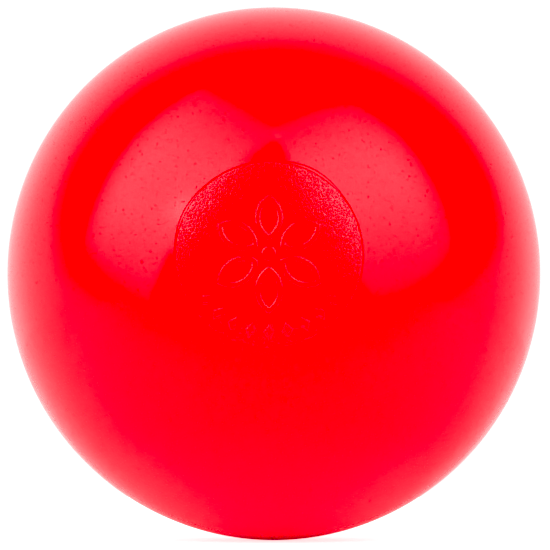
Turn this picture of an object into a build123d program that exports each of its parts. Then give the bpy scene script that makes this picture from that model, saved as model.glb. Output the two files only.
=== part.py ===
from build123d import *
import math
import os

# Hollow moulded plastic hand ball, in millimetres.
# The origin is the centre of the ball, +Z is up, and -Y is the front, where the closing disc sits.
# Both halves and the disc are bodies of revolution about the Y axis, drawn as half sections in the
# XY plane: the first number of a point is its distance from the axis, the second is its place on Y.

# Driving dimensions
BALL_DIAMETER = 75.0
WALL = 0.7
DISC_DIAMETER = 24.0
DISC_RISE = 0.2          # how far the disc's face stands proud of the ball
DISC_WALL = 1.0

# Rim joint between the two halves: a tongue on the front half in a groove of the rear half
RIM_THICKNESS = 1.8
RIM_WIDTH = 2.4          # along the axis, on each half
TONGUE_THICKNESS = 0.6
TONGUE_HEIGHT = 1.0
TONGUE_CLEARANCE = 0.05
GROOVE_SPARE_DEPTH = 0.1
WELD_LINE_BEVEL = 0.12   # on each half's outer rim edge, so that the two make a fine V line

# Closing disc's seat, neck and skirt
DISC_CLEARANCE = 0.05
SEAT_DEPTH = 1.0         # from the disc's outer edge to the flat seat under it
SEAT_THICKNESS = 0.9
NECK_DIAMETER = 19.2
NECK_THICKNESS = 0.9
NECK_LENGTH = 3.6        # from the seat inwards
SKIRT_LENGTH = 3.0
SKIRT_THICKNESS = 0.8
DISC_EDGE_RADIUS = 0.15

# Gate mark at the rear pole: a shallow dish with a nib that stays below the surface
GATE_RADIUS = 1.6
GATE_DEPTH = 0.25
GATE_NIB_RADIUS = 0.5
GATE_NIB_HEIGHT = 0.2

# Relief on the disc: an open flower of outlined petals round a small boss, and a row of small
# outlined lozenges that follows the lower edge
RELIEF_HEIGHT = 0.15
PETAL_COUNT = 6
PETAL_INNER = 1.7        # distance of a petal's points from the disc's middle
PETAL_OUTER = 7.6
PETAL_WIDTH = 3.5
PETAL_LINE = 0.6         # width of the raised line round a petal
BOSS_RADIUS = 0.9
LOZENGE_COUNT = 9
LOZENGE_RING = 10.0      # distance of the lozenges from the disc's middle
LOZENGE_LENGTH = 1.9
LOZENGE_WIDTH = 1.4
LOZENGE_LINE = 0.32
LOZENGE_SPREAD = 108.0   # degrees from the first lozenge of the row to the last

# Worked out from the dimensions above
OUTER_RADIUS = BALL_DIAMETER / 2
INNER_RADIUS = OUTER_RADIUS - WALL
FACE_RADIUS = OUTER_RADIUS + DISC_RISE
DISC_RADIUS = DISC_DIAMETER / 2
RECESS_RADIUS = DISC_RADIUS + DISC_CLEARANCE
STEP_RADIUS = RECESS_RADIUS + SEAT_THICKNESS
NECK_RADIUS = NECK_DIAMETER / 2
NECK_OUTER = NECK_RADIUS + NECK_THICKNESS
SKIRT_RADIUS = NECK_RADIUS - DISC_CLEARANCE
SKIRT_INNER = SKIRT_RADIUS - SKIRT_THICKNESS
RIM_INNER = OUTER_RADIUS - RIM_THICKNESS
RIM_EDGE = OUTER_RADIUS - WELD_LINE_BEVEL
TAPER_RADIUS = (RIM_INNER + INNER_RADIUS) / 2
TONGUE_OUTER = OUTER_RADIUS - (RIM_THICKNESS - TONGUE_THICKNESS) / 2
TONGUE_INNER = TONGUE_OUTER - TONGUE_THICKNESS
GROOVE_OUTER = TONGUE_OUTER + TONGUE_CLEARANCE
GROOVE_INNER = TONGUE_INNER - TONGUE_CLEARANCE
GROOVE_DEPTH = TONGUE_HEIGHT + GROOVE_SPARE_DEPTH


def reach(sphere_radius, distance):
    """Distance along the axis from the centre to a sphere, at a distance from the axis."""
    return math.sqrt(sphere_radius ** 2 - distance ** 2)


SEAT_Y = SEAT_DEPTH - reach(FACE_RADIUS, DISC_RADIUS)
BEVEL_RADIUS = reach(OUTER_RADIUS, WELD_LINE_BEVEL)


def sphere_arc(sphere_radius, start, end, side):
    """An arc of a sphere's half section between two distances from the axis.

    side is -1 on the front half and 1 on the rear half.
    """
    middle = (math.asin(start / sphere_radius) + math.asin(end / sphere_radius)) / 2
    return ThreePointArc(
        (start, side * reach(sphere_radius, start)),
        (sphere_radius * math.sin(middle), side * sphere_radius * math.cos(middle)),
        (end, side * reach(sphere_radius, end)),
    )


def revolved(*stretches):
    """A solid of revolution about the Y axis from the stretches of its closed half section."""
    edges = [edge for stretch in stretches for edge in stretch.edges()]
    return revolve(make_face(edges), Axis.Y)


def front_shell():
    """Front half of the wall, with the disc's seat and neck at its pole and a tongue on its rim."""
    outer = sphere_arc(OUTER_RADIUS, RECESS_RADIUS, BEVEL_RADIUS, -1)
    rim = Polyline(
        (BEVEL_RADIUS, -WELD_LINE_BEVEL),
        (RIM_EDGE, 0),
        (TONGUE_OUTER, 0),
        (TONGUE_OUTER, TONGUE_HEIGHT),
        (TONGUE_INNER, TONGUE_HEIGHT),
        (TONGUE_INNER, 0),
        (RIM_INNER, 0),
        (RIM_INNER, -RIM_WIDTH),
        (TAPER_RADIUS, -reach(INNER_RADIUS, TAPER_RADIUS)),
    )
    inner = sphere_arc(INNER_RADIUS, TAPER_RADIUS, STEP_RADIUS, -1)
    neck = Polyline(
        (STEP_RADIUS, -reach(INNER_RADIUS, STEP_RADIUS)),
        (STEP_RADIUS, SEAT_Y + SEAT_THICKNESS),
        (NECK_OUTER, SEAT_Y + SEAT_THICKNESS),
        (NECK_OUTER, SEAT_Y + NECK_LENGTH),
        (NECK_RADIUS, SEAT_Y + NECK_LENGTH),
        (NECK_RADIUS, SEAT_Y),
        (RECESS_RADIUS, SEAT_Y),
        (RECESS_RADIUS, -reach(OUTER_RADIUS, RECESS_RADIUS)),
    )
    return revolved(outer, rim, inner, neck)


def rear_shell():
    """Rear half of the wall, with a groove in its rim and a small gate mark at its pole."""
    outer = sphere_arc(OUTER_RADIUS, GATE_RADIUS, BEVEL_RADIUS, 1)
    rim = Polyline(
        (BEVEL_RADIUS, WELD_LINE_BEVEL),
        (RIM_EDGE, 0),
        (GROOVE_OUTER, 0),
        (GROOVE_OUTER, GROOVE_DEPTH),
        (GROOVE_INNER, GROOVE_DEPTH),
        (GROOVE_INNER, 0),
        (RIM_INNER, 0),
        (RIM_INNER, RIM_WIDTH),
        (TAPER_RADIUS, reach(INNER_RADIUS, TAPER_RADIUS)),
    )
    inner = sphere_arc(INNER_RADIUS, TAPER_RADIUS, 0, 1)
    gate_floor = OUTER_RADIUS - GATE_DEPTH
    gate = Polyline(
        (0, INNER_RADIUS),
        (0, gate_floor + GATE_NIB_HEIGHT),
        (GATE_NIB_RADIUS, gate_floor + GATE_NIB_HEIGHT),
        (GATE_NIB_RADIUS, gate_floor),
        (GATE_RADIUS, gate_floor),
        (GATE_RADIUS, reach(OUTER_RADIUS, GATE_RADIUS)),
    )
    return revolved(outer, rim, inner, gate)


def disc_plug():
    """The disc without its relief: a domed face, a flat rim that sits on the seat, and a skirt."""
    underside_radius = FACE_RADIUS - DISC_WALL
    face = sphere_arc(FACE_RADIUS, 0, DISC_RADIUS, -1)
    below = Polyline(
        (DISC_RADIUS, SEAT_Y - SEAT_DEPTH),
        (DISC_RADIUS, SEAT_Y),
        (SKIRT_RADIUS, SEAT_Y),
        (SKIRT_RADIUS, SEAT_Y + SKIRT_LENGTH),
        (SKIRT_INNER, SEAT_Y + SKIRT_LENGTH),
        (SKIRT_INNER, -reach(underside_radius, SKIRT_INNER)),
    )
    dome = sphere_arc(underside_radius, SKIRT_INNER, 0, -1)
    axis_line = Line((0, -underside_radius), (0, -FACE_RADIUS))
    plug = revolved(face, below, dome, axis_line)
    circles = plug.edges().filter_by(GeomType.CIRCLE)
    rims = circles.filter_by(lambda edge: math.isclose(edge.radius, DISC_RADIUS))
    return fillet(rims.sort_by(Axis.Y)[0], DISC_EDGE_RADIUS)


def outlined(face, line_width):
    """The band of one raised line just inside a flat shape's outline."""
    return face - offset(face, amount=-line_width)


def petal():
    """One pointed petal, standing up from the middle of the disc."""
    middle = (PETAL_INNER + PETAL_OUTER) / 2
    right = ThreePointArc((0, PETAL_INNER), (PETAL_WIDTH / 2, middle), (0, PETAL_OUTER))
    left = ThreePointArc((0, PETAL_OUTER), (-PETAL_WIDTH / 2, middle), (0, PETAL_INNER))
    return make_face([right.edge(), left.edge()])


def lozenge():
    """One small lozenge, its long way pointing at the middle of the disc."""
    corners = Polyline(
        (LOZENGE_WIDTH / 2, 0),
        (0, LOZENGE_LENGTH / 2),
        (-LOZENGE_WIDTH / 2, 0),
        (0, -LOZENGE_LENGTH / 2),
        close=True,
    )
    return make_face(corners.edges())


def relief_pattern():
    """All the raised lines of the disc, flat, as seen from the front with Z up."""
    shapes = [Circle(BOSS_RADIUS)]
    for number in range(PETAL_COUNT):
        turn = number * 360 / PETAL_COUNT
        shapes.append(Rot(0, 0, turn) * outlined(petal(), PETAL_LINE))
    for number in range(LOZENGE_COUNT):
        turn = LOZENGE_SPREAD * (number / (LOZENGE_COUNT - 1) - 0.5)
        shapes.append(Rot(0, 0, turn) * Pos(0, -LOZENGE_RING) * outlined(lozenge(), LOZENGE_LINE))
    return shapes


def closing_disc():
    """The whole disc: the plug with the pattern raised on its face."""
    disc = disc_plug()
    skin = Sphere(FACE_RADIUS + RELIEF_HEIGHT) - Sphere(FACE_RADIUS - RELIEF_HEIGHT)
    for shape in relief_pattern():
        column = extrude(Plane.XZ * shape, amount=FACE_RADIUS + 1)
        disc = disc + (column & skin)
    return disc


os.makedirs("parts", exist_ok=True)
export_step(front_shell(), "parts/front_shell.step")
export_step(rear_shell(), "parts/rear_shell.step")
export_step(closing_disc(), "parts/closing_disc.step")
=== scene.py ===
import math

import bmesh
import bpy
import numpy as np
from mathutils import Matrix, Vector


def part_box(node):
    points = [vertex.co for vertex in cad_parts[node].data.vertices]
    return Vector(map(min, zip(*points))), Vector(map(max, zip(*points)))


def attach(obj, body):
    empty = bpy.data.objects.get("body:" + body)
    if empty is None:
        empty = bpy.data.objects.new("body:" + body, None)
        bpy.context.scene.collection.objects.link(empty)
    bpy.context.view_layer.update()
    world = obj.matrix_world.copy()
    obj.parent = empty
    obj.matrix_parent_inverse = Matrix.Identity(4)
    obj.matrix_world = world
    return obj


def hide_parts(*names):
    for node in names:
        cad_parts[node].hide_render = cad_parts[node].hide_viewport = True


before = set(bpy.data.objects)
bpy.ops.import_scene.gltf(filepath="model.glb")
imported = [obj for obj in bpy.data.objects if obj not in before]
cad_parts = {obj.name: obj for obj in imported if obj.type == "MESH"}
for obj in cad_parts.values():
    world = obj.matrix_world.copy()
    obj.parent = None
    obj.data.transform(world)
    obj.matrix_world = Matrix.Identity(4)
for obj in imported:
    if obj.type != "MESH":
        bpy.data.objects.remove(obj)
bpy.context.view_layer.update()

# Looks for a hollow moulded plastic ball with a raised closing disc, in metres.
# The origin is the ball's centre, +Z is up and -Y is the front, where the disc sits.
# The wall halves and the disc are turned about the Y axis from half sections: a point of a section
# is (distance from the axis, place on Y).

MM = 0.001

# The ball's outer sizes, from the frame
BALL_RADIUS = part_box("rear_shell")[1].x
DISC_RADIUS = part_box("closing_disc")[1].x
RELIEF_TOP = -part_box("closing_disc")[0].y     # from the ball's centre to the top of the relief

# Sizes inside, which the frame's boxes don't give
WALL = 0.7 * MM
RELIEF_HEIGHT = 0.15 * MM
DISC_WALL = 1.0 * MM
DISC_CLEARANCE = 0.05 * MM
SEAT_DEPTH = 1.0 * MM
SEAT_THICKNESS = 0.9 * MM
NECK_RADIUS = 9.6 * MM
NECK_THICKNESS = 0.9 * MM
NECK_LENGTH = 3.6 * MM
SKIRT_LENGTH = 3.0 * MM
SKIRT_THICKNESS = 0.8 * MM
RIM_THICKNESS = 1.8 * MM
RIM_WIDTH = 2.4 * MM
TONGUE_THICKNESS = 0.6 * MM
TONGUE_HEIGHT = 1.0 * MM
TONGUE_CLEARANCE = 0.05 * MM
GROOVE_DEPTH = 1.1 * MM
WELD_BEVEL = 0.12 * MM
GATE_RADIUS = 1.6 * MM
GATE_DEPTH = 0.25 * MM
GATE_NIB_RADIUS = 0.5 * MM
GATE_NIB_HEIGHT = 0.2 * MM

INNER_RADIUS = BALL_RADIUS - WALL
FACE_RADIUS = RELIEF_TOP - RELIEF_HEIGHT
RECESS_RADIUS = DISC_RADIUS + DISC_CLEARANCE
RIM_INNER = BALL_RADIUS - RIM_THICKNESS
TAPER_RADIUS = (RIM_INNER + INNER_RADIUS) / 2
TONGUE_OUTER = BALL_RADIUS - (RIM_THICKNESS - TONGUE_THICKNESS) / 2
TONGUE_INNER = TONGUE_OUTER - TONGUE_THICKNESS


def reach(sphere_radius, distance):
    """Distance along the axis from the centre to a sphere, at a distance from the axis."""
    return math.sqrt(max(0.0, sphere_radius ** 2 - distance ** 2))


SEAT_Y = SEAT_DEPTH - reach(FACE_RADIUS, DISC_RADIUS)


# ---------------------------------------------------------------- mesh helpers

def spaced(start, end, first_step, growth, widest_step):
    """Numbers from start to end whose steps grow from first_step to widest_step."""
    values = [start]
    step = first_step
    while values[-1] + step * 1.5 < end:
        values.append(values[-1] + step)
        step = min(step * growth, widest_step)
    values.append(end)
    return values


def evenly_spaced(start, end, step):
    """Numbers from start to end in equal steps, but for the last."""
    return spaced(start, end, step, 1.0, step)


def sphere_section(sphere_radius, arcs, side):
    """Section points of a sphere at arc lengths from the axis, on side -1 (front) or 1 (rear)."""
    angles = [arc / sphere_radius for arc in arcs]
    return [(sphere_radius * math.sin(a), side * sphere_radius * math.cos(a)) for a in angles]


def arc_at(sphere_radius, distance):
    """Arc length from the axis of the point of a sphere at a distance from the axis."""
    return sphere_radius * math.asin(distance / sphere_radius)


def turned(section, segments):
    """The section turned about the Y axis: an array of rings, [section point, segment, xyz]."""
    points = np.array(section)
    turn = np.linspace(0.0, math.tau, segments, endpoint=False)
    rings = np.empty((len(points), segments, 3))
    rings[:, :, 0] = points[:, :1] * np.sin(turn)
    rings[:, :, 1] = points[:, 1:]
    rings[:, :, 2] = points[:, :1] * np.cos(turn)
    return rings


def waves(points, length, amount, seed, count=32):
    """A smooth random height at each point, from plane waves about one length long.

    amount is its typical size, as a root mean square.
    """
    draw = np.random.default_rng(seed)
    ways = draw.normal(size=(count, 3))
    ways /= np.linalg.norm(ways, axis=1)[:, None]
    ways *= math.tau / length / draw.uniform(0.7, 1.4, size=(count, 1))
    starts = draw.uniform(0.0, math.tau, size=count)
    height = np.zeros(points.shape[:-1])
    for way, start in zip(ways, starts):
        height += np.cos(points @ way + start)
    return height * amount * math.sqrt(2.0 / count)


def lifted(rings, height):
    """The rings with each point moved straight out from the ball's centre by a height."""
    return rings * (1.0 + height / np.linalg.norm(rings, axis=-1))[..., None]


def rings_to_mesh(rings, ends):
    """Vertices and faces of stacked rings.

    ends is None when the last ring joins the first, or the two points on the axis that close them.
    """
    count, segments, _ = rings.shape
    here = np.arange(segments)
    there = (here + 1) % segments
    faces = []
    for ring in range(count - 1 if ends else count):
        low = ring * segments
        high = (ring + 1) % count * segments
        faces += np.stack([low + here, high + here, high + there, low + there], axis=1).tolist()
    vertices = rings.reshape(-1, 3).tolist()
    if ends:
        for ring, y in ((0, ends[0]), (count - 1, ends[1])):
            low = ring * segments
            middle = len(vertices)
            vertices.append((0.0, y, 0.0))
            faces += [(low + int(h), low + int(t), middle) for h, t in zip(here, there)]
    return vertices, faces


SHARP_ANGLE = math.radians(38)   # edges sharper than this are shaded as corners


def make_piece(name, parts):
    """One smooth-shaded closed piece from (vertices, faces) parts, its faces turned outwards."""
    vertices = []
    faces = []
    for some_vertices, some_faces in parts:
        start = len(vertices)
        vertices += some_vertices
        faces += [tuple(start + i for i in face) for face in some_faces]
    mesh = bpy.data.meshes.new(name)
    mesh.from_pydata(vertices, [], faces)
    work = bmesh.new()
    work.from_mesh(mesh)
    bmesh.ops.recalc_face_normals(work, faces=work.faces)
    work.to_mesh(mesh)
    work.free()
    mesh.shade_smooth()
    mesh.set_sharp_from_angle(angle=SHARP_ANGLE)
    piece = bpy.data.objects.new(name, mesh)
    bpy.context.scene.collection.objects.link(piece)
    return piece


# ---------------------------------------------------------------- the wall's two halves

WALL_SEGMENTS = 720
FORM_WAVE = 11 * MM            # slow unevenness of a moulded wall
FORM_HEIGHT = 0.004 * MM
FINE_WAVE = 3.0 * MM
FINE_HEIGHT = 0.0007 * MM
FORM_FADE = 12                 # rings over which that unevenness fades out at an edge
LIP_CLOSING = 0.042 * MM       # how far the wall's lip closes the gap where the joint is tight
SWELL_HEIGHT = 0.012 * MM      # the wall rises a little towards the disc
SWELL_REACH = 0.55 * MM
SWELL_POWER = 1.3              # how roundly the swell dies away
OPEN_PLACE = math.radians(20)  # where the joint round the disc is most open, clockwise from the top
OPEN_POWER = 1.2               # how quickly it closes on both sides of that place
LEDGE_DROP = 0.035 * MM        # thin crescents beside the disc lie lower
LEDGE_BLEND = 0.0125 * MM      # softness of a crescent's outer step
# Each crescent's place and spread, in degrees clockwise from the top, and its greatest width
LEDGES = (
    (28, 19, 0.36 * MM),
    (-64, 22, 0.30 * MM),
)
INNER_STEP = 2 * MM            # between the rings of the wall's inner surface


def moulded_form(rings):
    """How far a moulded wall departs from a true sphere."""
    slow = waves(rings, FORM_WAVE, FORM_HEIGHT, seed=11)
    fine = waves(rings, FINE_WAVE, FINE_HEIGHT, seed=12)
    return slow + fine


def fade_in(form):
    """The same heights, starting from 0 and growing to full over the first rings."""
    part = np.ones(len(form))
    part[:FORM_FADE] = np.linspace(0.0, 1.0, FORM_FADE)
    return form * part[:, None]


def edge_openness(rings):
    """1 where the joint round the disc stands open, upper right, falling to 0 where it is tight."""
    turn = np.arctan2(rings[..., 0], rings[..., 2])
    return (0.5 + 0.5 * np.cos(turn - OPEN_PLACE)) ** OPEN_POWER


def ledge_width(turn):
    """Width of the low crescent beside the disc, at a turn clockwise from the top, in radians."""
    width = np.zeros_like(turn)
    for place, spread, widest in LEDGES:
        away = (np.degrees(turn) - place + 180.0) % 360.0 - 180.0
        width += widest * np.exp(-(away / spread) ** 2)
    return width


def disc_surround(rings):
    """Height of the wall's swell towards the disc, with the crescent ledges cut into it."""
    distance = np.hypot(rings[..., 0], rings[..., 2])
    away = BALL_RADIUS * np.arcsin(np.minimum(distance / BALL_RADIUS, 1.0))
    away = away - arc_at(BALL_RADIUS, RECESS_RADIUS)
    swell = SWELL_HEIGHT * np.exp(-(np.maximum(away, 0.0) / SWELL_REACH) ** SWELL_POWER)
    turn = np.arctan2(rings[..., 0], rings[..., 2])
    on_ledge = 0.5 + 0.5 * np.tanh((ledge_width(turn) - away) / LEDGE_BLEND / 2)
    return swell - LEDGE_DROP * on_ledge


def front_wall():
    """Front half: outer surface with the disc's surround, rim with a tongue, seat and neck."""
    start = arc_at(BALL_RADIUS, RECESS_RADIUS)
    end = BALL_RADIUS * math.pi / 2 - WELD_BEVEL
    outer_arcs = spaced(start, end, first_step=0.04 * MM, growth=1.035, widest_step=0.5 * MM)
    outer = turned(sphere_section(BALL_RADIUS, outer_arcs, -1), WALL_SEGMENTS)
    form = fade_in(moulded_form(outer)[::-1])[::-1]
    outer = lifted(outer, form + disc_surround(outer))
    lip = 1.0 - LIP_CLOSING * (1.0 - edge_openness(outer[0])) / RECESS_RADIUS
    outer[0, :, 0] *= lip
    outer[0, :, 2] *= lip
    rim = [
        (BALL_RADIUS - WELD_BEVEL, 0.0),
        (TONGUE_OUTER, 0.0),
        (TONGUE_OUTER, TONGUE_HEIGHT),
        (TONGUE_INNER, TONGUE_HEIGHT),
        (TONGUE_INNER, 0.0),
        (RIM_INNER, 0.0),
        (RIM_INNER, -RIM_WIDTH),
    ]
    step_radius = RECESS_RADIUS + SEAT_THICKNESS
    neck_outer = NECK_RADIUS + NECK_THICKNESS
    inner_start = arc_at(INNER_RADIUS, step_radius)
    inner_arcs = evenly_spaced(inner_start, arc_at(INNER_RADIUS, TAPER_RADIUS), INNER_STEP)
    inner = sphere_section(INNER_RADIUS, inner_arcs[::-1], -1)
    neck = [
        (step_radius, SEAT_Y + SEAT_THICKNESS),
        (neck_outer, SEAT_Y + SEAT_THICKNESS),
        (neck_outer, SEAT_Y + NECK_LENGTH),
        (NECK_RADIUS, SEAT_Y + NECK_LENGTH),
        (NECK_RADIUS, SEAT_Y),
        (RECESS_RADIUS, SEAT_Y),
    ]
    hidden = turned(rim + inner + neck, WALL_SEGMENTS)
    rings = np.concatenate([outer, hidden])
    return make_piece("front_wall", [rings_to_mesh(rings, None)])


# Roundings of the gate mark: of its nib's top, crown and foot, and of its dish's floor and lip
NIB_EDGE = 0.12 * MM
NIB_CROWN = 0.01 * MM
NIB_FOOT = 0.02 * MM
DISH_FLOOR_EDGE = 0.3 * MM
DISH_CORNER_IN = 0.1 * MM
DISH_CORNER_UP = 0.06 * MM
DISH_LIP = 0.12 * MM


def gate_mark():
    """Section points of the mark at the rear pole: a nib in a shallow dish."""
    floor = BALL_RADIUS - GATE_DEPTH
    nib_top = floor + GATE_NIB_HEIGHT
    return [
        (GATE_NIB_RADIUS / 2, nib_top),
        (GATE_NIB_RADIUS - NIB_EDGE, nib_top - NIB_CROWN),
        (GATE_NIB_RADIUS, nib_top - NIB_EDGE),
        (GATE_NIB_RADIUS + NIB_FOOT, floor + NIB_FOOT),
        (GATE_NIB_RADIUS + NIB_EDGE, floor),
        (GATE_RADIUS - DISH_FLOOR_EDGE, floor),
        (GATE_RADIUS - DISH_CORNER_IN, floor + DISH_CORNER_UP),
        (GATE_RADIUS, reach(BALL_RADIUS, GATE_RADIUS) - DISH_CORNER_UP),
    ]


def rear_wall():
    """Rear half: outer surface with the gate mark at its pole, and a rim with a groove."""
    gate = gate_mark()
    nib_top = gate[0][1]
    start = arc_at(BALL_RADIUS, GATE_RADIUS + DISH_LIP)
    end = BALL_RADIUS * math.pi / 2 - WELD_BEVEL
    outer_arcs = spaced(start, end, first_step=0.06 * MM, growth=1.06, widest_step=0.5 * MM)
    outer = turned(sphere_section(BALL_RADIUS, outer_arcs, 1), WALL_SEGMENTS)
    form = fade_in(fade_in(moulded_form(outer))[::-1])[::-1]
    outer = lifted(outer, form)
    rim = [
        (BALL_RADIUS - WELD_BEVEL, 0.0),
        (TONGUE_OUTER + TONGUE_CLEARANCE, 0.0),
        (TONGUE_OUTER + TONGUE_CLEARANCE, GROOVE_DEPTH),
        (TONGUE_INNER - TONGUE_CLEARANCE, GROOVE_DEPTH),
        (TONGUE_INNER - TONGUE_CLEARANCE, 0.0),
        (RIM_INNER, 0.0),
        (RIM_INNER, RIM_WIDTH),
    ]
    inner_arcs = evenly_spaced(INNER_STEP / 2, arc_at(INNER_RADIUS, TAPER_RADIUS), INNER_STEP)
    inner = sphere_section(INNER_RADIUS, inner_arcs[::-1], 1)
    before = turned(gate, WALL_SEGMENTS)
    after = turned(rim + inner, WALL_SEGMENTS)
    rings = np.concatenate([before, outer, after])
    return make_piece("rear_wall", [rings_to_mesh(rings, (nib_top, INNER_RADIUS))])


# ---------------------------------------------------------------- the disc and its relief

DISC_SEGMENTS = 630
FACE_STEP = 0.12 * MM
DISC_EDGE = 0.18 * MM          # rounding of its edge, where the joint is most open
EDGE_STEPS = 6
TIGHT_EDGE = 0.12              # the rounding where the joint is tight, as a share of that
DOME_STEP = 1 * MM             # between the rings of the disc's underside
GRAIN_WAVE = 0.30 * MM         # the face's grain, as far as it is in the mesh
GRAIN_HEIGHT = 0.0026 * MM
DISC_FORM_WAVE = 5 * MM
DISC_FORM_HEIGHT = 0.004 * MM

PETAL_COUNT = 6
PETAL_INNER = 1.7 * MM
PETAL_OUTER = 7.6 * MM
PETAL_WIDTH = 3.5 * MM
PETAL_LINE = 0.6 * MM
PETAL_FLANK = 0.34 * MM        # width of a raised line's sloping side, half of it outside the outline
BOSS_RADIUS = 0.9 * MM
BOSS_SEGMENTS = 60
LOZENGE_COUNT = 9
LOZENGE_RING = 10.0 * MM
LOZENGE_LENGTH = 1.9 * MM
LOZENGE_WIDTH = 1.4 * MM
LOZENGE_LINE = 0.32 * MM
LOZENGE_FLANK = 0.26 * MM
LOZENGE_SPREAD = math.radians(108)   # from the first lozenge of the row to the last
RELIEF_ROOT = 0.03 * MM        # how far a raised line starts below the disc's face
FLANK_STEPS = 9


def disc_body():
    """The disc's plate: grained face, rounded edge, flat rim underneath and the plugging skirt."""
    face_end = DISC_RADIUS - DISC_EDGE
    face_arcs = evenly_spaced(FACE_STEP, arc_at(FACE_RADIUS, face_end), FACE_STEP)
    face = turned(sphere_section(FACE_RADIUS, face_arcs, -1), DISC_SEGMENTS)
    grain = waves(face, GRAIN_WAVE, GRAIN_HEIGHT, seed=21, count=90)
    form = waves(face, DISC_FORM_WAVE, DISC_FORM_HEIGHT, seed=22)
    fade = np.ones(len(face_arcs))      # the grain dies away at the edge and at the middle point
    fade[-4:] = (0.75, 0.5, 0.25, 0.0)
    fade[:3] = (0.0, 0.3, 0.7)
    face = lifted(face, (grain + form) * fade[:, None])
    turns = np.radians(90 * np.arange(1, EDGE_STEPS + 1) / EDGE_STEPS)
    radii = face_end + DISC_EDGE * np.sin(turns)
    edge = turned([(radius, -reach(FACE_RADIUS, radius)) for radius in radii], DISC_SEGMENTS)
    drop = DISC_EDGE * (1 - np.cos(turns))
    edge[:, :, 1] += drop[:, None] * (TIGHT_EDGE + (1 - TIGHT_EDGE) * edge_openness(edge))
    skirt_outer = NECK_RADIUS - DISC_CLEARANCE
    skirt_inner = skirt_outer - SKIRT_THICKNESS
    below = [
        (DISC_RADIUS, SEAT_Y),
        (skirt_outer, SEAT_Y),
        (skirt_outer, SEAT_Y + SKIRT_LENGTH),
        (skirt_inner, SEAT_Y + SKIRT_LENGTH),
    ]
    dome_radius = FACE_RADIUS - DISC_WALL
    dome_arcs = evenly_spaced(DOME_STEP, arc_at(dome_radius, skirt_inner), DOME_STEP)
    dome = sphere_section(dome_radius, dome_arcs[::-1], -1)
    rings = np.concatenate([face, edge, turned(below + dome, DISC_SEGMENTS)])
    return rings_to_mesh(rings, (-FACE_RADIUS, -dome_radius))


def flank(width):
    """(inset, height) points up a raised line's soft side, from its root to its top."""
    points = []
    for step in range(FLANK_STEPS + 1):
        part = step / FLANK_STEPS
        rise = (1 - math.cos(math.pi * part)) / 2
        points.append((width * (part - 0.5), RELIEF_HEIGHT * rise - RELIEF_ROOT * (1 - rise)))
    return points


def line_profile(width, side):
    """(inset, height) points across a raised line, from its outer root over its top to its inner."""
    rise = flank(side)
    return rise + [(width - inset, height) for inset, height in reversed(rise)]


def petal_outline(inset, steps=64):
    """Points of a pointed petal's outline moved inwards, as (across, along) from its middle."""
    half_length = (PETAL_OUTER - PETAL_INNER) / 2
    half_width = PETAL_WIDTH / 2
    arc_radius = (half_length ** 2 + half_width ** 2) / (2 * half_width)
    offset = arc_radius - half_width
    radius = arc_radius - inset
    half_turn = math.acos(offset / radius)
    points = []
    for side in (1, -1):
        for step in range(steps):
            angle = half_turn * (2 * step / steps - 1)
            points.append((
                side * (radius * math.cos(angle) - offset),
                side * radius * math.sin(angle),
            ))
    return points


def lozenge_outline(inset, steps=8):
    """Points of a lozenge's outline moved inwards, as (across, along) from its middle."""
    half_width = LOZENGE_WIDTH / 2
    half_length = LOZENGE_LENGTH / 2
    inradius = half_width * half_length / math.hypot(half_width, half_length)
    scale = 1 - inset / inradius
    corners = [(half_width, 0.0), (0.0, half_length), (-half_width, 0.0), (0.0, -half_length)]
    points = []
    for number, (x, y) in enumerate(corners):
        next_x, next_y = corners[(number + 1) % 4]
        for step in range(steps):
            part = step / steps
            points.append((scale * (x + (next_x - x) * part), scale * (y + (next_y - y) * part)))
    return points


def on_face(x, z, height):
    """The point a height above the disc's face, in front of (x, z)."""
    return (x, -math.sqrt((FACE_RADIUS + height) ** 2 - x * x - z * z), z)


def raised_line(outline, profile, distance, turn):
    """A closed raised line whose outline's middle is a distance from the disc's middle.

    turn is clockwise from straight up.
    """
    loops = []
    for inset, height in profile:
        loop = []
        for across, along in outline(inset):
            out = distance + along
            x = out * math.sin(turn) + across * math.cos(turn)
            z = out * math.cos(turn) - across * math.sin(turn)
            loop.append(on_face(x, z, height))
        loops.append(loop)
    return rings_to_mesh(np.array(loops), None)


def boss():
    """The small round boss at the disc's middle."""
    profile = [(BOSS_RADIUS - inset, height) for inset, height in flank(PETAL_FLANK)]
    profile.append((BOSS_RADIUS / 2, RELIEF_HEIGHT))
    section = [(r, -math.sqrt((FACE_RADIUS + h) ** 2 - r * r)) for r, h in profile]
    ends = (-FACE_RADIUS + RELIEF_ROOT, -RELIEF_TOP)
    return rings_to_mesh(turned(section, BOSS_SEGMENTS), ends)


def badge_disc():
    """The whole disc with its generic flower and row of lozenges."""
    parts = [disc_body(), boss()]
    petal_middle = (PETAL_INNER + PETAL_OUTER) / 2
    petal_line = line_profile(PETAL_LINE, PETAL_FLANK)
    lozenge_line = line_profile(LOZENGE_LINE, LOZENGE_FLANK)
    for number in range(PETAL_COUNT):
        turn = math.tau * number / PETAL_COUNT
        parts.append(raised_line(petal_outline, petal_line, petal_middle, turn))
    for number in range(LOZENGE_COUNT):
        turn = math.pi + LOZENGE_SPREAD * (number / (LOZENGE_COUNT - 1) - 0.5)
        parts.append(raised_line(lozenge_outline, lozenge_line, LOZENGE_RING, turn))
    return make_piece("badge_disc", parts)


# ---------------------------------------------------------------- materials

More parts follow.
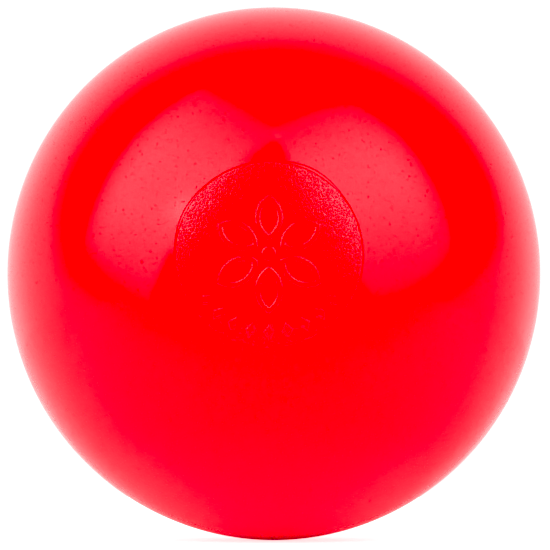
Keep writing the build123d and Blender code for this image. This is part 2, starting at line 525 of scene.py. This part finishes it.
class Nodes:
    """A node tree, with short calls to add and join nodes. place is where a point lies."""

    def __init__(self, tree, place):
        self.tree = tree
        self.tree.nodes.clear()
        self.place = self.add("ShaderNodeTexCoord").outputs[place]

    def add(self, kind, **settings):
        """A new node with some of its properties set."""
        node = self.tree.nodes.new(kind)
        for key, value in settings.items():
            setattr(node, key, value)
        return node

    def feed(self, socket, value):
        """Join a node's output to the socket, or set the socket to a number or a colour."""
        if isinstance(value, (int, float, tuple)):
            socket.default_value = value
        else:
            self.tree.links.new(value, socket)

    def noise(self, length, detail, place=None):
        """Noise whose features are about one length across."""
        node = self.add("ShaderNodeTexNoise")
        node.inputs["Scale"].default_value = 1.0 / length
        node.inputs["Detail"].default_value = detail
        self.feed(node.inputs["Vector"], place or self.place)
        return node.outputs["Fac"]

    def ramp(self, value, low, high, out_low=0.0, out_high=1.0):
        """value from low..high mapped smoothly onto out_low..out_high."""
        node = self.add("ShaderNodeMapRange", interpolation_type="SMOOTHSTEP")
        node.inputs["From Min"].default_value = low
        node.inputs["From Max"].default_value = high
        self.feed(node.inputs["To Min"], out_low)
        self.feed(node.inputs["To Max"], out_high)
        self.feed(node.inputs["Value"], value)
        return node.outputs["Result"]

    def patches(self, length, detail, low, high, out_low=0.0, out_high=1.0):
        """Soft patches: noise from low..high mapped onto out_low..out_high."""
        return self.ramp(self.noise(length, detail), low, high, out_low, out_high)

    def math(self, operation, *values):
        """The result of a Math node's operation on outputs or numbers."""
        node = self.add("ShaderNodeMath", operation=operation)
        for socket, value in zip(node.inputs, values):
            self.feed(socket, value)
        return node.outputs["Value"]

    def product(self, *values):
        """The product of some values."""
        result = values[0]
        for value in values[1:]:
            result = self.math("MULTIPLY", result, value)
        return result

    def length_of(self, vector):
        """A vector's length."""
        node = self.add("ShaderNodeVectorMath", operation="LENGTH")
        self.feed(node.inputs["Vector"], vector)
        return node.outputs["Value"]

    def seen_as(self, level):
        """The level for rays from the camera, and 0 for all others. For the stage only."""
        return self.math("MULTIPLY", self.add("ShaderNodeLightPath").outputs["Is Camera Ray"], level)

    def axes(self):
        """The X, Y and Z of the place."""
        node = self.add("ShaderNodeSeparateXYZ")
        self.feed(node.inputs["Vector"], self.place)
        return node.outputs

    def scaled_sum(self, *terms):
        """The sum of (value, scale) terms."""
        total = 0.0
        for value, scale in terms:
            total = self.math("MULTIPLY_ADD", value, scale, total)
        return total

    def most(self, *values):
        """The greatest of some values."""
        result = values[0]
        for value in values[1:]:
            result = self.math("MAXIMUM", result, value)
        return result

    def specks(self, spacing, radius, share):
        """Small soft spots, 1 in their middles. share is how many of the cells may hold one."""
        node = self.add("ShaderNodeTexVoronoi", feature="F1")
        node.inputs["Scale"].default_value = 1.0 / spacing
        self.feed(node.inputs["Vector"], self.place)
        apart = self.add("ShaderNodeSeparateColor")
        self.feed(apart.inputs["Color"], node.outputs["Color"])
        widest = radius / spacing      # the texture measures in cells
        size = self.ramp(apart.outputs["Red"], 1.0 - share, 1.0, -0.3 * widest, widest)
        inside = self.math("SUBTRACT", size, node.outputs["Distance"])
        return self.ramp(inside, 0.0, 0.5 * widest)

    def hairlines(self, length, thickness, turn, share):
        """Fine straight marks, 1 along their middles, lying one way. A greater share makes more."""
        stretch = self.add("ShaderNodeMapping")
        stretch.inputs["Rotation"].default_value = turn
        stretch.inputs["Scale"].default_value = (1.0, thickness / length, 1.0)
        self.feed(stretch.inputs["Vector"], self.place)
        streaks = self.noise(thickness, 0.0, stretch.outputs["Vector"])
        return self.ramp(streaks, 1.0 - share, 1.0 - share / 2)

    def bump(self, height, distance, below=None):
        """The normal over a height field of 0..1 that stands for 0..distance."""
        node = self.add("ShaderNodeBump")
        node.inputs["Distance"].default_value = distance
        self.feed(node.inputs["Height"], height)
        if below is not None:
            self.feed(node.inputs["Normal"], below)
        return node.outputs["Normal"]

    def mixed_colour(self, factor, first, second):
        """first where the factor is 0 and second where it is 1; each an output or a colour."""
        node = self.add("ShaderNodeMix", data_type="RGBA")
        sockets = [socket for socket in node.inputs if socket.type == "RGBA"]
        self.feed(node.inputs[0], factor)
        for socket, colour in zip(sockets, (first, second)):
            self.feed(socket, (*colour, 1.0) if isinstance(colour, tuple) else colour)
        return [socket for socket in node.outputs if socket.type == "RGBA"][0]


PLASTIC_IOR = 1.5


def plastic(name):
    """A material with a principled shader, its nodes and the shader's sockets."""
    material = bpy.data.materials.new(name)
    material.use_nodes = True
    nodes = Nodes(material.node_tree, "Object")
    shader = nodes.add("ShaderNodeBsdfPrincipled")
    shader.inputs["IOR"].default_value = PLASTIC_IOR
    nodes.feed(nodes.add("ShaderNodeOutputMaterial").inputs["Surface"], shader.outputs["BSDF"])
    return material, nodes, shader.inputs


RED = (0.95, 0.001, 0.0018)
DEEP_RED = (0.88, 0.0006, 0.0012)      # in slow clouds, where the dye is denser
MOTTLE_RED = (0.72, 0.0008, 0.0016)    # in the wall's fine mottling
DUST_RED = (0.30, 0.005, 0.006)        # dust, and dirt in the handling marks
GRAIN_RED = (0.50, 0.0008, 0.002)      # on the tops of the disc's grain

# Gloss is a specular level, and haze is a roughness.
BALL_GLOSS = 0.525
MOTTLE_DULLING = 0.04
DUST_DULLING = 0.30
CLEAREST = 0.10                        # the plastic's haze varies slowly between these two
HAZIEST = 0.14
DUST_HAZE = 0.1                        # added by dust
RIPPLE_HEIGHT = 0.0022 * MM
GRIT_HEIGHT = 0.005 * MM               # small grains that stand up under the skin

DISC_GLOSS = 0.5                       # of the disc's plastic without its grain
GRAIN_SHINE = 0.34                     # added where the grain is
GRAIN_DULLING = 0.62                   # and taken away on the grain's tops
GRAIN_BUMP = 0.03 * MM
GRAIN_ON_LINES = 0.15                  # how much of the grain the raised lines have
LINE_FOOT = 0.02 * MM                  # above the face: where the grain starts to die away
LINE_TOP = 0.06 * MM                   # and where only that much is left


def ball_plastic():
    """Smooth glossy polyethylene: rippled, mottled, with dull dust specks and handling marks."""
    material, nodes, sockets = plastic("ball_plastic")
    dust = nodes.most(
        nodes.specks(spacing=0.75 * MM, radius=0.19 * MM, share=0.8),
        nodes.specks(spacing=4.1 * MM, radius=0.28 * MM, share=0.45),
        nodes.hairlines(length=9 * MM, thickness=0.35 * MM, turn=(0.4, 0.2, 0.9), share=0.30),
        nodes.hairlines(length=7 * MM, thickness=0.30 * MM, turn=(1.9, 0.7, 2.3), share=0.30),
    )
    clouds = nodes.patches(length=9 * MM, detail=3.0, low=0.3, high=0.7)
    mottle = nodes.patches(length=0.5 * MM, detail=2.0, low=0.35, high=0.65)
    clean = nodes.mixed_colour(mottle, nodes.mixed_colour(clouds, RED, DEEP_RED), MOTTLE_RED)
    nodes.feed(sockets["Base Color"], nodes.mixed_colour(dust, clean, DUST_RED))
    gloss = nodes.scaled_sum((mottle, -MOTTLE_DULLING), (dust, -DUST_DULLING), (BALL_GLOSS, 1.0))
    nodes.feed(sockets["Specular IOR Level"], gloss)
    haze = nodes.patches(length=4 * MM, detail=4.0, low=0.35, high=0.75, out_low=CLEAREST, out_high=HAZIEST)
    nodes.feed(sockets["Roughness"], nodes.scaled_sum((haze, 1.0), (dust, DUST_HAZE)))
    ripple = nodes.bump(nodes.noise(length=1.3 * MM, detail=1.5), RIPPLE_HEIGHT)
    grit = nodes.specks(spacing=5.2 * MM, radius=0.24 * MM, share=0.35)
    nodes.feed(sockets["Normal"], nodes.bump(grit, GRIT_HEIGHT, below=ripple))
    return material


def disc_plastic():
    """The same polyethylene with a fine spark-eroded grain, which the raised lines mostly lack.

    The grain shows in the colour, in the gloss and as a bump.
    """
    material, nodes, sockets = plastic("disc_plastic")
    height = nodes.length_of(nodes.place)
    face = nodes.ramp(height, FACE_RADIUS + LINE_FOOT, FACE_RADIUS + LINE_TOP, 1.0, GRAIN_ON_LINES)
    grain = nodes.noise(length=0.17 * MM, detail=1.0)
    shades = nodes.product(nodes.ramp(grain, low=0.42, high=0.56), face)
    clouds = nodes.patches(length=6 * MM, detail=3.0, low=0.3, high=0.7)
    colour = nodes.mixed_colour(shades, nodes.mixed_colour(clouds, RED, DEEP_RED), GRAIN_RED)
    nodes.feed(sockets["Base Color"], colour)
    haze = nodes.patches(length=2 * MM, detail=3.0, low=0.35, high=0.75, out_low=CLEAREST, out_high=HAZIEST)
    nodes.feed(sockets["Roughness"], haze)
    gloss = nodes.scaled_sum((shades, -GRAIN_DULLING), (face, GRAIN_SHINE), (DISC_GLOSS, 1.0))
    nodes.feed(sockets["Specular IOR Level"], gloss)
    nodes.feed(sockets["Normal"], nodes.bump(nodes.product(grain, face), GRAIN_BUMP))
    return material


# ---------------------------------------------------------------- stage, lights and camera

def towards(azimuth, elevation):
    """Unit vector from the ball, in degrees: azimuth 0 is the front, 90 the right."""
    a, e = math.radians(azimuth), math.radians(elevation)
    return Vector((math.sin(a) * math.cos(e), -math.cos(a) * math.cos(e), math.sin(e)))


def glowing(name, strength):
    """A clear material that shines with the strength times the mesh's own glow."""
    material = bpy.data.materials.new(name)
    material.use_nodes = True
    nodes = Nodes(material.node_tree, "Object")
    shader = nodes.add("ShaderNodeEmission")
    glow = nodes.add("ShaderNodeAttribute", attribute_name="glow").outputs["Fac"]
    nodes.feed(shader.inputs["Strength"], nodes.math("MULTIPLY", glow, strength))
    both = nodes.add("ShaderNodeAddShader")
    nodes.feed(both.inputs[0], shader.outputs["Emission"])
    nodes.feed(both.inputs[1], nodes.add("ShaderNodeBsdfTransparent").outputs["BSDF"])
    nodes.feed(nodes.add("ShaderNodeOutputMaterial").inputs["Surface"], both.outputs["Shader"])
    return material


SOFTBOX_GRID = 36              # squares along each side of a panel's mesh
SOFTBOX_FRINGE = 0.09          # the outermost share of a panel, over which it fades up from nothing
FRINGE_SHARE = 0.39            # brightness just inside that fringe, as a share of its middle's
HOT_PLACE = towards(-39, 22)   # the hottest spot of the left one, where its lamp is
HOT_SPREAD = math.radians(5.5)


def smooth(part):
    """0..1 eased at both ends."""
    part = min(1.0, max(0.0, part))
    return part * part * (3 - 2 * part)


def patch_point(corners, middles, u, v):
    """A point of a four-sided patch with curved sides, u and v from 0 to 1.

    The corners go round from (0, 0) by (1, 0) and (1, 1) to (0, 1); each middle follows its corner.
    """
    point = Vector((0.0, 0.0, 0.0))
    s, t = 2 * u - 1, 2 * v - 1
    for (a, b), corner in zip(((-1, -1), (1, -1), (1, 1), (-1, 1)), corners):
        point += corner * (1 + s * a) * (1 + t * b) * (s * a + t * b - 1) / 4
    point += middles[0] * (1 - s * s) * (1 - t) / 2
    point += middles[1] * (1 + s) * (1 - t * t) / 2
    point += middles[2] * (1 - s * s) * (1 + t) / 2
    point += middles[3] * (1 - s) * (1 - t * t) / 2
    return point


def softbox(name, corners, middles, margins, strength, distance, hot=0.0):
    """A glowing panel unseen by the camera, which dims towards its upper, lower and outer side.

    margins says over how much of the panel it dims at each of the three. The fourth side, next to
    the lens, stays bright, and hot says how much brighter still the panel is at its lamp.
    """
    corners = [towards(*corner) for corner in corners]
    middles = [towards(*middle) for middle in middles]
    vertices = []
    glow = []
    count = SOFTBOX_GRID + 1
    for row in range(count):
        for column in range(count):
            u, v = column / SOFTBOX_GRID, row / SOFTBOX_GRID
            point = patch_point(corners, middles, u, v)
            vertices.append(point.normalized() * distance)
            inside = 1.0
            fringe = 1.0
            for away, margin in zip((u, 1 - u, v), margins):
                inside *= smooth(away / margin)
                fringe *= smooth(away / SOFTBOX_FRINGE)
            spot = math.exp(-(point.angle(HOT_PLACE) / HOT_SPREAD) ** 2)
            glow.append(FRINGE_SHARE * fringe + (1 - FRINGE_SHARE) * inside + hot * spot)
    faces = []
    for row in range(SOFTBOX_GRID):
        for column in range(SOFTBOX_GRID):
            corner = row * count + column
            faces.append((corner, corner + 1, corner + count + 1, corner + count))
    mesh = bpy.data.meshes.new(name)
    mesh.from_pydata(vertices, [], faces)
    mesh.attributes.new("glow", "FLOAT", "POINT").data.foreach_set("value", glow)
    mesh.materials.append(glowing(name, strength))
    panel = bpy.data.objects.new(name, mesh)
    bpy.context.scene.collection.objects.link(panel)
    panel.visible_camera = False


TABLE_FRONT = 0.105            # from the ball's centre to the table's edges
TABLE_SIDE = 0.2
TABLE_BACK = 0.4
TABLE_ROUGHNESS = 0.7
TABLE_GLOSS = 0.1
TABLE_WHITE = (0.92, 0.92, 0.92)
# painted shade: the table's colour at its front, darker where the lights fall off
TABLE_PAINTED_FRONT_SHADE = (0.74, 0.74, 0.74)
TABLE_SEEN = 0.75              # how much the camera sees it glow, so that it looks white
# Where the table's painted light and shade change, in metres from the ball's foot, and between which levels
FRONT_FADE = (-0.085, -0.035)  # on Y, from unlit to lit
# the glow's painted pool of light round the ball, and painted light beyond it brighter on the left than on
# the right
NEAR_FAR = (0.022, 0.042)      # on the distance from the foot, from the near level to the far one
NEAR_LEVEL = 0.33
LEFT_RIGHT = (-0.06, 0.06)     # on X, between the far levels
FAR_LEVELS = (0.21, 0.13)
# painted contact shadow at the ball's foot
CONTACT_SHADOW_LEVEL = 0.35              # the share of light left at the foot itself
# painted shadow of the ball on the table behind it, deeper on the right
SHADE_FADE = (-0.016, 0.004)   # on Y, from lit to the ball's shade behind it
SHADE_LEFT_RIGHT = (-0.06, 0.02)
SHADE_LEVELS = (0.5, 0.1)      # the shares of light left in that shade, at the left and the right


def painted_light_table_look():
    """The table top's material, its colour and glow painted with light and shade: dimmer towards its front,
    under the ball and behind it.
    """
    material = bpy.data.materials.new("table_painted_light")
    material.use_nodes = True
    nodes = Nodes(material.node_tree, "Object")
    shader = nodes.add("ShaderNodeBsdfPrincipled")
    shader.inputs["Roughness"].default_value = TABLE_ROUGHNESS
    shader.inputs["Specular IOR Level"].default_value = TABLE_GLOSS
    shader.inputs["Emission Color"].default_value = (1.0, 1.0, 1.0, 1.0)
    right, back, _ = nodes.axes()
    from_foot = nodes.length_of(nodes.place)
    # painted falloff of the light towards the front, in both the glow and the colour
    onto = nodes.ramp(back, *FRONT_FADE)
    far = nodes.ramp(right, *LEFT_RIGHT, *FAR_LEVELS)
    # painted pool of light round the ball
    painted_light_pool = nodes.ramp(from_foot, *NEAR_FAR, NEAR_LEVEL, far)
    # painted contact shadow at the ball's foot
    under = nodes.ramp(from_foot, 0.0, NEAR_FAR[0], CONTACT_SHADOW_LEVEL, 1.0)
    in_shade = nodes.ramp(right, *SHADE_LEFT_RIGHT, *SHADE_LEVELS)
    # painted shadow of the ball behind it
    shade = nodes.ramp(back, *SHADE_FADE, 1.0, in_shade)
    # the table's glow: its painted light and shade together
    lit = nodes.product(painted_light_pool, shade, under, onto)
    nodes.feed(shader.inputs["Emission Strength"], nodes.most(lit, nodes.seen_as(TABLE_SEEN)))
    # painted shade: the colour is darker towards the front
    nodes.feed(shader.inputs["Base Color"], nodes.mixed_colour(onto, TABLE_PAINTED_FRONT_SHADE, TABLE_WHITE))
    nodes.feed(nodes.add("ShaderNodeOutputMaterial").inputs["Surface"], shader.outputs["BSDF"])
    return material


def light_table():
    """The white table top that the ball rests on, glowing with painted light and shade."""
    mesh = bpy.data.meshes.new("table")
    corners = [
        (-TABLE_SIDE, -TABLE_FRONT, 0.0),
        (TABLE_SIDE, -TABLE_FRONT, 0.0),
        (TABLE_SIDE, TABLE_BACK, 0.0),
        (-TABLE_SIDE, TABLE_BACK, 0.0),
    ]
    mesh.from_pydata(corners, [], [(0, 1, 2, 3)])
    mesh.materials.append(painted_light_table_look())
    table = bpy.data.objects.new("table", mesh)
    table.location = (0.0, 0.0, -BALL_RADIUS)
    bpy.context.scene.collection.objects.link(table)


DARK_LEVEL = 0.33              # the unlit room in front of the ball
WHITE_LEVEL = 0.84             # the white background behind it, at its sides
SEEN_LEVEL = 1.05              # what the camera sees past the ball
# The room is dark where a sum of a direction's parts is low, and white where it is high
ROOM_EDGE = (-0.07, 0.30)      # the sums between which it brightens
EDGE_ABOVE = -0.24             # shares of the upward and the downward part in that sum
EDGE_BELOW = -2.0
CORNER_POWER = 4.0             # the dark upper corners: how far out they lie,
CORNER_DARK = 1.4              # how dark they are on average,
CORNER_RIGHT = 0.75            # and how much darker the right one is
# How the background's level changes towards the middle of the back, the sides and the right
BACK_GAIN = 0.13
BACK_GAIN_OVER = (0.5, 0.8)
MIDDLE_LOSS = -0.07
MIDDLE_LOSS_OVER = (0.8, 0.95)
SIDE_GAIN = 0.20
RIGHT_LOSS = -0.095
UPPER_SIDE_LOSS = -0.34


def white_room():
    """Surroundings: white behind the ball, dark in front of it, and plain white to the camera."""
    world = bpy.data.worlds.new("white_room")
    bpy.context.scene.world = world
    world.use_nodes = True
    nodes = Nodes(world.node_tree, "Generated")
    right, back, up = nodes.axes()
    above = nodes.math("MAXIMUM", up, 0.0)
    below = nodes.math("MINIMUM", up, 0.0)
    side = nodes.math("ABSOLUTE", right)
    upper_side = nodes.product(side, above)
    corner = nodes.product(nodes.math("POWER", side, CORNER_POWER), above)
    corner_dark = nodes.scaled_sum((right, CORNER_RIGHT), (CORNER_DARK, 1.0))
    behind = nodes.scaled_sum(
        (back, 1.0),
        (above, EDGE_ABOVE),
        (below, EDGE_BELOW),
        (nodes.product(corner, corner_dark), -1.0),
    )
    level = nodes.scaled_sum(
        (nodes.ramp(back, *BACK_GAIN_OVER, WHITE_LEVEL, WHITE_LEVEL + BACK_GAIN), 1.0),
        (nodes.ramp(back, *MIDDLE_LOSS_OVER), MIDDLE_LOSS),
        (side, SIDE_GAIN),
        (right, RIGHT_LOSS),
        (upper_side, UPPER_SIDE_LOSS),
    )
    light = nodes.ramp(behind, *ROOM_EDGE, DARK_LEVEL, level)
    background = nodes.add("ShaderNodeBackground")
    background.inputs["Color"].default_value = (1.0, 1.0, 1.0, 1.0)
    nodes.feed(background.inputs["Strength"], nodes.most(nodes.seen_as(SEEN_LEVEL), light))
    nodes.feed(nodes.add("ShaderNodeOutputWorld").inputs["Surface"], background.outputs["Background"])


CAMERA_AZIMUTH = 0.95          # degrees
CAMERA_ELEVATION = -3.95
CAMERA_DISTANCE = 10.0         # in ball radii
BALL_SHARE = 0.96873           # the ball's width as a share of the picture's
AIM = Vector((0.16, 0.0, -0.17)) * MM

BLACK_POINT = (0.0, 0.07, 0.038)     # red, green and blue
WHITE_POINT = (0.35, 1.0, 1.0)


def camera():
    """A long lens almost level with the ball's middle."""
    data = bpy.data.cameras.new("camera")
    half = BALL_SHARE * data.sensor_width / 2
    data.lens = half * math.sqrt(CAMERA_DISTANCE ** 2 - 1)
    data.clip_start = 0.01
    data.clip_end = 20.0
    view = bpy.data.objects.new("camera", data)
    view.location = towards(CAMERA_AZIMUTH, CAMERA_ELEVATION) * CAMERA_DISTANCE * BALL_RADIUS
    view.rotation_euler = (AIM - view.location).to_track_quat("-Z", "Y").to_euler()
    bpy.context.scene.collection.objects.link(view)
    bpy.context.scene.camera = view


def print_levels():
    """Plain display colours, with the black point and the early full red of a bright print."""
    view = bpy.context.scene.view_settings
    view.view_transform = "Standard"
    view.look = "None"
    view.exposure = 0.0
    view.gamma = 1.0
    view.use_curve_mapping = True
    view.curve_mapping.black_level = BLACK_POINT
    view.curve_mapping.white_level = WHITE_POINT
    view.curve_mapping.update()


# ---------------------------------------------------------------- making it all

camera()
print_levels()
white_room()
light_table()
softbox(
    "softbox_left",
    corners=[(-86, 71), (-86.5, 6), (-55.5, -18), (10, 56.2)],
    middles=[(-86, 42), (-72, -7), (-23.7, 34), (-32, 70)],
    margins=(0.55, 0.30, 0.36),
    strength=2.6,
    distance=1.1,
    hot=0.65)
softbox(
    "softbox_right",
    corners=[(70, 65), (81.5, 6), (45.7, -18), (-4.5, 59.5)],
    middles=[(81, 38), (67, -8), (17.3, 31), (31, 67.3)],
    margins=(0.50, 0.45, 0.42),
    strength=2.6,
    distance=1.12)

ball_look = ball_plastic()
disc_look = disc_plastic()
for piece, node, look, slot in (
    (front_wall(), "front_shell", ball_look, "ball_plastic"),
    (rear_wall(), "rear_shell", ball_look, "ball_plastic"),
    (badge_disc(), "closing_disc", disc_look, "disc_plastic"),
):
    piece.data.materials.append(look)
    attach(piece, "root")
    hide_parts(node)
